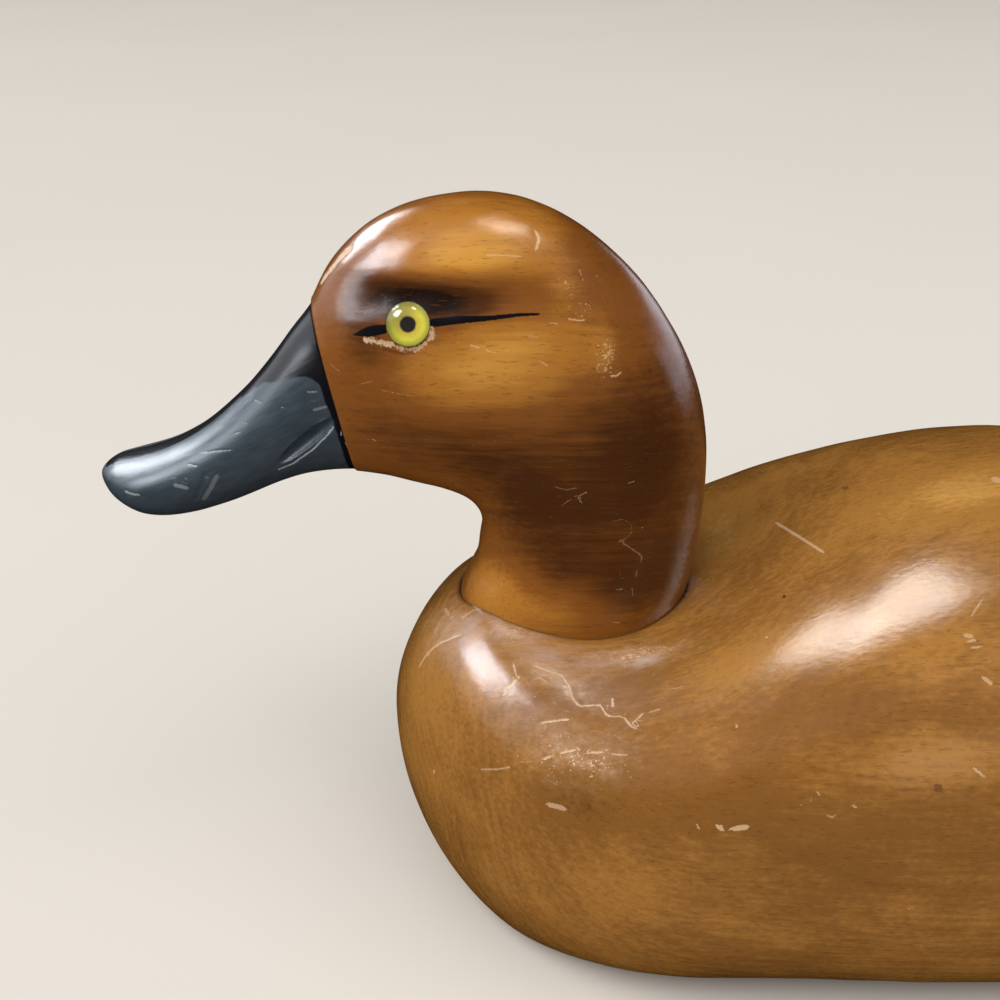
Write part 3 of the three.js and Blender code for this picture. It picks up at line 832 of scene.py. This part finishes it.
class Nodes:
    """Short calls for the nodes of one material."""

    def __init__(self, name):
        self.material = bpy.data.materials.new(name)
        self.material.use_nodes = True
        self.tree = self.material.node_tree
        self.tree.nodes.clear()
        self.output = self.add("OutputMaterial")
        place = self.add("TexCoord").outputs["Object"]
        self.place = self.stretched(place, (1 / MM, 1 / MM, 1 / MM))

    def add(self, kind, inputs=(), **settings):
        node = self.tree.nodes.new("ShaderNode" + kind)
        for key, value in settings.items():
            setattr(node, key, value)
        for key, value in dict(inputs).items():
            self.feed(node.inputs[key], value)
        return node

    def feed(self, socket, value):
        """Links or sets an input. A colour is red, green and blue in linear light."""
        if isinstance(value, bpy.types.NodeSocket):
            self.tree.links.new(value, socket)
        elif socket.type == "RGBA":
            socket.default_value = (*value, 1.0)
        else:
            socket.default_value = value

    def stretched(self, vector, scale, turn=(0, 0, 0)):
        return self.add("Mapping", {"Vector": vector, "Scale": scale, "Rotation": turn}).outputs[0]

    def field(self, name):
        return self.add("Attribute", attribute_name=name).outputs["Fac"]

    def noise(self, scale, detail=3.0, roughness=0.5, vector=None):
        """Noise with this many features to the millimetre, along every axis or along x, y and z."""
        scale = scale if isinstance(scale, tuple) else (scale,) * 3
        vector = self.stretched(vector or self.place, scale)
        inputs = {"Vector": vector, "Scale": 1.0, "Detail": detail, "Roughness": roughness}
        return self.add("TexNoise", inputs).outputs["Fac"]

    def math(self, operation, a, b=0.0):
        return self.add("Math", {0: a, 1: b}, operation=operation).outputs[0]

    def times(self, a, b):
        return self.math("MULTIPLY", a, b)

    def plus(self, a, b):
        return self.math("ADD", a, b)

    def minus(self, a, b):
        return self.math("SUBTRACT", a, b)

    def step(self, low, high, value):
        """0 below low and 1 above high, smooth between; the other way round when low is above high."""
        inputs = {"Value": value, "From Min": low, "From Max": high, "To Min": 0.0, "To Max": 1.0}
        return self.add("MapRange", inputs, interpolation_type="SMOOTHSTEP").outputs[0]

    def centred(self, value, size):
        """Turns a 0 to 1 value into one between -size / 2 and size / 2."""
        return self.times(self.minus(value, 0.5), size)

    def mix(self, factor, a, b):
        node = self.add("Mix", data_type="RGBA", clamp_factor=True)
        for socket, value in ((0, factor), (6, a), (7, b)):
            self.feed(node.inputs[socket], value)
        return node.outputs[2]

    def ramp(self, factor, stops):
        node = self.add("ValToRGB", {"Fac": factor})
        ramp = node.color_ramp
        ramp.interpolation = "EASE"
        while len(ramp.elements) < len(stops):
            ramp.elements.new(0.5)
        for element, (place, shade) in zip(ramp.elements, stops):
            element.position = place
            element.color = (*shade, 1)
        return node.outputs["Color"]

    def line(self, name, ragged=0.25, texture=(2.2, 2.0), low=-0.1, high=0.12):
        """Mask of the lines of this name, with ragged edges."""
        inside = self.minus(self.field(name + "_half"), self.math("ABSOLUTE", self.field(name + "_across")))
        rough = self.centred(self.noise(*texture), ragged)
        return self.times(self.step(low, high, self.plus(inside, rough)), self.field(name + "_strength"))

    def broken_lines(self, name):
        """Mask of the lines of this name as thin, broken lines: scratches, and on the bill a painted
        catch-light.
        """
        return self.line(name, 1.0, (2.6, 4.0, 0.7), 0.06, 0.26)

    def bump(self, height, distance, strength):
        inputs = {"Height": height, "Distance": distance * MM, "Strength": strength}
        return self.add("Bump", inputs).outputs[0]

    def surface(self, inputs):
        shader = self.add("BsdfPrincipled", inputs)
        self.feed(self.output.inputs["Surface"], shader.outputs[0])


# Stained wood from the darkest to the palest.
BROWN_STOPS = [
    (0, (0.01, 0.0035, 0.001)), (0.22, (0.05, 0.015, 0.0028)), (0.45, (0.17, 0.057, 0.008)),
    (0.65, (0.31, 0.125, 0.016)), (0.85, (0.46, 0.22, 0.035)), (1, (0.6, 0.33, 0.09)),
]
HONEY_STOPS = [
    (0, (0.014, 0.0055, 0.0015)), (0.22, (0.06, 0.022, 0.0045)), (0.45, (0.17, 0.072, 0.014)),
    (0.65, (0.29, 0.133, 0.027)), (0.85, (0.43, 0.225, 0.054)), (1, (0.58, 0.34, 0.11)),
]
RUBBED_AND_GLINT = (0.56, 0.4, 0.24)
BARE_WOOD = (0.5, 0.34, 0.2)
BLOOM_AND_SHEEN_TINT = (0.44, 0.36, 0.36)
BLACK_PAINT = (0.004, 0.0035, 0.005)
BLACK_ROUGHNESS, BARE_ROUGHNESS = (0.24,) * 3, (0.7,) * 3
VARNISH_IOR, GLASS_IOR, NO_SHINE = 1.52, 1.5, 0.0

# Enamel from the middle of the iris to its rim.
IRIS_STOPS = [
    (0, (0.05, 0.03, 0.01)), (0.3, (0.12, 0.08, 0.01)), (0.4, (0.42, 0.34, 0.04)),
    (0.64, (0.46, 0.42, 0.045)), (0.78, (0.3, 0.3, 0.03)), (0.92, (0.08, 0.08, 0.01)),
    (1, (0.03, 0.03, 0.01)),
]


def grain(n, rings_from, contrast):
    """Tone changes of the wood: growth rings about a lengthwise axis, long fibres and cloudy stain."""
    offset = n.add("VectorMath", {0: n.place, 1: (0.0, *rings_from)}, operation="SUBTRACT").outputs[0]
    flat = n.stretched(offset, (0.0, 1.0, 1.0))
    radius = n.add("VectorMath", {0: flat}, operation="LENGTH").outputs["Value"]
    wander = n.centred(n.noise((0.012, 0.03, 0.03), 2.0), 16.0)
    ring_place = n.add("CombineXYZ", {0: n.plus(radius, wander), 1: 0.0, 2: 0.0}).outputs[0]
    rings = n.noise((0.42, 1.0, 1.0), 3.0, 0.6, vector=ring_place)
    fibres = n.noise((0.045, 0.9, 0.9), 5.0, 0.65)
    cloud = n.noise((0.035, 0.05, 0.05), 4.0, 0.55)
    change = n.plus(n.centred(rings, 0.26), n.centred(fibres, 0.26))
    return n.times(n.plus(change, n.centred(cloud, 0.34)), contrast), fibres


def pores(n):
    """Short dark dashes along the grain."""
    return n.step(0.6, 0.7, n.noise((0.3, 2.4, 2.4), 2.0, 0.5))


def specks_and_glints(n, worn_and_glints):
    """Pale specks where the varnish is worn, partly painted glints of light on the rubbed varnish."""
    fine = n.noise((1.1, 1.6, 1.6), 3.0, 0.7)
    return n.step(0.71, 0.77, n.plus(fine, n.times(worn_and_glints, 0.2)))


def varnish(n, scale, smoothest, worn_and_glints):
    """Roughness of the varnish, which is duller in places and where it is worn."""
    uneven = n.times(n.noise(scale, 4.0, 0.6), 0.18)
    return n.plus(n.plus(uneven, smoothest), n.times(worn_and_glints, 0.12))


def make_body_material():
    n = Nodes("honey_stained_wood")
    change, fibres = grain(n, (30.0, 20.0), 0.85)
    mottle = n.centred(n.noise((0.55, 0.8, 0.8), 3.0, 0.6), 0.16)
    # The tone field holds stain, and painted light and shade in places.
    wood = n.ramp(n.plus(n.plus(n.field("tone"), change), mottle), HONEY_STOPS)
    wood = n.mix(n.times(pores(n), 0.45), wood, (0.1, 0.035, 0.008))
    # Pale bloom, partly a painted lilac reflection.
    bloom_and_sheen_mask = n.times(n.step(0.25, 0.7, n.noise((0.18, 0.22, 0.22), 4.0, 0.6)), n.field("bloom_and_sheen"))
    wood = n.mix(n.times(bloom_and_sheen_mask, 0.8), wood, BLOOM_AND_SHEEN_TINT)
    worn_and_glints = n.field("worn_and_glints")
    # Cloudy varnish where rubbed, partly a painted pale sheen.
    cloudy = n.times(n.step(0.4, 0.75, n.noise((0.25, 0.3, 0.3), 4.0, 0.65)), worn_and_glints)
    wood = n.mix(n.times(cloudy, 0.5), wood, (0.5, 0.36, 0.26))
    wood = n.mix(n.times(specks_and_glints(n, worn_and_glints), 0.7), wood, RUBBED_AND_GLINT)
    wood = n.mix(n.line("dark"), wood, (0.05, 0.02, 0.008))
    broken_lines = n.broken_lines("pale")
    wood = n.mix(n.times(broken_lines, 0.65), wood, RUBBED_AND_GLINT)
    grime = n.step(1.4, 0.2, n.field("joint"))
    wood = n.mix(n.times(grime, 0.85), wood, (0.05, 0.022, 0.01))
    height = n.plus(n.times(fibres, 0.6), n.times(n.noise((0.5, 0.8, 0.8)), 0.8))
    n.surface({
        "Base Color": wood,
        "Roughness": varnish(n, (0.12, 0.2, 0.2), 0.14, worn_and_glints),
        "IOR": VARNISH_IOR,
        "Normal": n.bump(n.minus(height, broken_lines), 0.1, 0.5),
    })
    return n.material


def make_head_material():
    n = Nodes("brown_stained_wood_and_paint")
    change, fibres = grain(n, (-20.0, 90.0), 0.65)
    # The tone field holds stain, and painted light and shade in places.
    wood = n.ramp(n.plus(n.field("tone"), change), BROWN_STOPS)
    wood = n.mix(n.times(pores(n), 0.45), wood, (0.08, 0.028, 0.007))
    worn_and_glints = n.field("worn_and_glints")
    wood = n.mix(n.times(specks_and_glints(n, worn_and_glints), 0.5), wood, RUBBED_AND_GLINT)
    # Painted shadow along the line under the eye.
    wood = n.mix(n.line("dark"), wood, (0.06, 0.02, 0.008))
    wood = n.mix(n.line("eye_line", 0.35), wood, BLACK_PAINT)
    wood = n.mix(n.times(n.broken_lines("pale"), 0.65), wood, RUBBED_AND_GLINT)
    ragged = n.centred(n.noise(1.3, 5.0, 0.75), 3.0)
    chips = n.step(0.08, -0.08, n.plus(n.field("chip"), ragged))
    bare = n.mix(n.noise((0.3, 1.5, 1.5)), BARE_WOOD, (0.36, 0.22, 0.12))
    wood = n.mix(chips, wood, bare)

    streaks = n.noise((0.16, 1.4, 0.7), 5.0, 0.6, n.stretched(n.place, (1, 1, 1), (0, 0.45, 0)))
    slate = n.mix(streaks, (0.013, 0.021, 0.029), (0.038, 0.055, 0.073))
    # Black paint, with the stripe along the top partly a painted shade.
    black = n.step(-0.35, 0.35, n.plus(n.field("black"), n.centred(n.noise(0.5), 0.8)))
    paint = n.mix(black, slate, BLACK_PAINT)
    # Pale scratches in the paint, and a painted catch-light along the lower lip of the mouth gouge.
    paint = n.mix(n.times(n.broken_lines("bill_pale"), 0.6), paint, (0.42, 0.46, 0.5))
    on_wood = n.step(-0.08, 0.08, n.plus(n.field("seam"), n.centred(n.noise(0.9, 2.0), 0.25)))
    painted = n.mix(black, n.plus(n.times(streaks, 0.3), 0.22), BLACK_ROUGHNESS)
    roughness = n.mix(on_wood, painted, varnish(n, (0.12, 0.25, 0.25), 0.15, worn_and_glints))
    height = n.plus(n.times(fibres, 0.6), n.times(n.noise((0.6, 0.9, 0.9)), 0.7))
    n.surface({
        "Base Color": n.mix(on_wood, paint, wood),
        "Roughness": n.mix(n.times(chips, on_wood), roughness, BARE_ROUGHNESS),
        "IOR": VARNISH_IOR,
        "Normal": n.bump(n.mix(on_wood, streaks, height), 0.08, 0.5),
    })
    return n.material


def make_iris_material():
    """Yellow enamel, darker towards its rim, with painted light on its lower rear side and painted shade
    towards its front and top, standing in for the light that the glass gathers.
    """
    n = Nodes("iris_enamel")
    flecks = n.centred(n.noise(2.0, 4.0, 0.7), 0.12)
    base = n.ramp(n.plus(n.field("reach"), flecks), IRIS_STOPS)
    # Painted shade on the front and top of the iris, and painted light to the rear and below.
    base = n.mix(n.field("lee"), n.mix(0.6, base, (0.12, 0.11, 0.03)), base)
    n.surface({"Base Color": base, "Roughness": 0.35, "Specular IOR Level": NO_SHINE})
    return n.material


def make_pupil_material():
    n = Nodes("pupil_enamel")
    shade = n.mix(n.noise(1.5, 2.0), (0.004, 0.004, 0.005), (0.012, 0.011, 0.012))
    n.surface({"Base Color": shade, "Roughness": 0.3, "Specular IOR Level": NO_SHINE})
    return n.material


def make_glass_material():
    n = Nodes("clear_glass")
    n.surface({
        "Base Color": (1.0, 1.0, 1.0),
        "Roughness": 0.0,
        "IOR": GLASS_IOR,
        "Transmission Weight": 1.0,
        "Normal": n.bump(n.noise(0.8), 0.01, 0.2),
    })
    return n.material


def make_eye(side, name, materials):
    """Glass, iris and pupil of one eye."""
    glass = turned(name + "_glass", glass_profile(), side)
    iris = turned(name + "_iris", enamel_profile(), side)
    pupil = turned(name + "_pupil", step_profile(PUPIL_RADIUS, PUPIL_BACK, PUPIL_FRONT), side, PUPIL_SIDES)
    middle, outward = eye_axes(side)
    offset = mesh_points(iris) - middle
    reach = np.linalg.norm(offset - (offset @ outward)[:, None] * outward, axis=1)
    set_attribute(iris, "reach", reach / EYE_RADIUS)
    set_attribute(iris, "lee", smooth_step(GLASS_LIGHT_FROM, GLASS_LIGHT_TO, offset[:, 0] - GLASS_LIGHT_SLOPE * offset[:, 2]))
    for piece, material in zip((glass, iris, pupil), materials):
        piece.data.materials.append(material)
        shade_smooth(piece, EYE_SHARP)
        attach(piece, "root")
    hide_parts(name)
    return [glass, iris, pupil]


def make_floor():
    """Plain pale floor."""
    n = Nodes("floor")
    tint = n.mix(n.noise(0.002), (0.58, 0.56, 0.53), (0.62, 0.6, 0.57))
    n.surface({"Base Color": tint, "Roughness": 0.7})
    corners = [(-1, -1), (1, -1), (1, 1), (-1, 1)]
    points = [(across * FLOOR_REACH - EYE_X, along * FLOOR_REACH, 0) for across, along in corners]
    floor = new_mesh_object("floor", points, [(0, 1, 2, 3)])
    floor.data.materials.append(n.material)
    floor.visible_glossy = False


def add_lamp(name, azimuth, elevation, spread, glow, tint, lit_spot=LAMPS_AIM, distance=LAMPS_AWAY):
    """A lamp that fills the given angles, in degrees, as seen from the lit spot. Sizes are in millimetres.

    Azimuth 0 is the camera's side and -90 is the bill's side.
    """
    azimuth, elevation = math.radians(azimuth), math.radians(elevation)
    level = math.cos(elevation)
    away = Vector((math.sin(azimuth) * level, -math.cos(azimuth) * level, math.sin(elevation)))
    across, up = (2 * distance * MM * math.tan(math.radians(angle / 2)) for angle in spread)
    lamp = bpy.data.lights.new(name, "AREA")
    lamp.shape = "RECTANGLE"
    lamp.size, lamp.size_y = across, up
    lamp.energy = glow * math.pi * across * up
    lamp.color = tint
    holder = new_object(name, lamp)
    holder.location = (Vector(lit_spot) + away * distance) * MM
    holder.rotation_euler = away.to_track_quat("Z", "Y").to_euler()
    holder.visible_camera = False
    return holder


def add_soft_light(*placing):
    """A large lamp for the general light, which isn't mirrored in the varnish."""
    holder = add_lamp(*placing)
    holder.visible_glossy = False
    holder.visible_transmission = False
    return holder


def link_lamp(holder, pieces):
    """Makes a lamp reach only these pieces, with nothing else in its way."""
    linked = bpy.data.collections.new("linked_to_" + holder.name)
    for piece in pieces:
        linked.objects.link(piece)
    holder.light_linking.receiver_collection = linked
    holder.light_linking.blocker_collection = linked


def add_shine(pieces, *placing):
    """A lamp that is only seen mirrored in the varnish or glass of these pieces."""
    holder = add_lamp(*placing)
    holder.visible_diffuse = False
    holder.visible_transmission = False
    link_lamp(holder, pieces)


def add_lights(head, body, enamel):
    """General light, more of it on the eyes' enamel, then lamps whose shine lies as in the photograph."""
    cool, lilac, white, warm = (0.88, 0.93, 1.0), (0.84, 0.86, 1.0), (1.0, 0.95, 0.88), (1.0, 0.86, 0.7)
    add_soft_light("key", -55, 44, (60, 45), 4.6, (1.0, 0.97, 0.93))
    add_soft_light("fill", 40, 52, (60, 45), 2.0, (1.0, 0.96, 0.92))
    for name, azimuth in (("eye_light", -30), ("far_eye_light", -150)):
        link_lamp(add_soft_light(name, azimuth, 35, (60, 45), 5.4, (1.0, 0.98, 0.95)), enamel)
    add_shine(head + body, "front_sky", -100, 26, (60, 45), 1.5, cool)
    add_shine(head, "back_sky", 118, 7, (70, 16), 2.4, lilac)
    add_shine(head, "forehead_window", -57, 36, (25, 26), 19.0, cool, (-123, -12, 173), 250)
    add_shine(head[:1], "forehead_low", -55, 13, (26, 14), 7.0, cool, (-126, -11, 167), 200)
    add_shine(head, "crown_lamp", 30, 69, (19, 16), 13.0, warm)
    add_shine(head, "bill_window", -127, 43, (36, 24), 21.0, cool, (-175, -7, 124), 600)
    add_shine(body, "breast_window", -102, 43, (27, 42), 18.0, (0.82, 0.88, 1.0), (-100, -32, 79), 130)
    add_shine(body, "shoulder_window", -159, 72, (18, 27), 15.0, white, (-3, -43, 103), 218)
    add_shine(body, "shoulder_end", -144, 64, (16, 36), 14.0, white, (-26, -48, 96), 100)
    add_shine(body, "flank_lamp", 15, 10, (8, 20), 1.5, white)
    world = bpy.data.worlds.new("room")
    world.use_nodes = True
    background = world.node_tree.nodes["Background"].inputs
    background["Color"].default_value = (1.0, 0.95, 0.89, 1)
    background["Strength"].default_value = 0.34
    world.cycles_visibility.glossy = False
    bpy.context.scene.world = world


def add_camera():
    data = bpy.data.cameras.new("camera")
    data.sensor_width = SENSOR
    data.lens = SENSOR * FOCAL_PIXELS / PICTURE
    camera = new_object("camera", data)
    camera.location = Vector((CAMERA_FROM_EYES + [EYE_X, 0, 0]) * MM)
    camera.rotation_euler = Euler((math.radians(90) - CAMERA_PITCH, 0, 0))
    bpy.context.scene.camera = camera


add_camera()
make_floor()

head_piece, body_piece, plain = build_shapes()
mark_head(head_piece, plain)
mark_body(body_piece, plain)
for piece, node, material in (
    (head_piece, "head", make_head_material()),
    (body_piece, "body", make_body_material()),
):
    piece.data.materials.clear()
    piece.data.materials.append(material)
    shade_smooth(piece, WOOD_SHARP)
    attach(piece, "root")
    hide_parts(node)
eye_materials = (make_glass_material(), make_iris_material(), make_pupil_material())
eyes = make_eye(-1, "eye_left", eye_materials) + make_eye(1, "eye_right", eye_materials)
add_lights([head_piece] + eyes, [body_piece], [piece for piece in eyes if not piece.name.endswith("_glass")])

bpy.context.scene.view_settings.view_transform = "Standard"
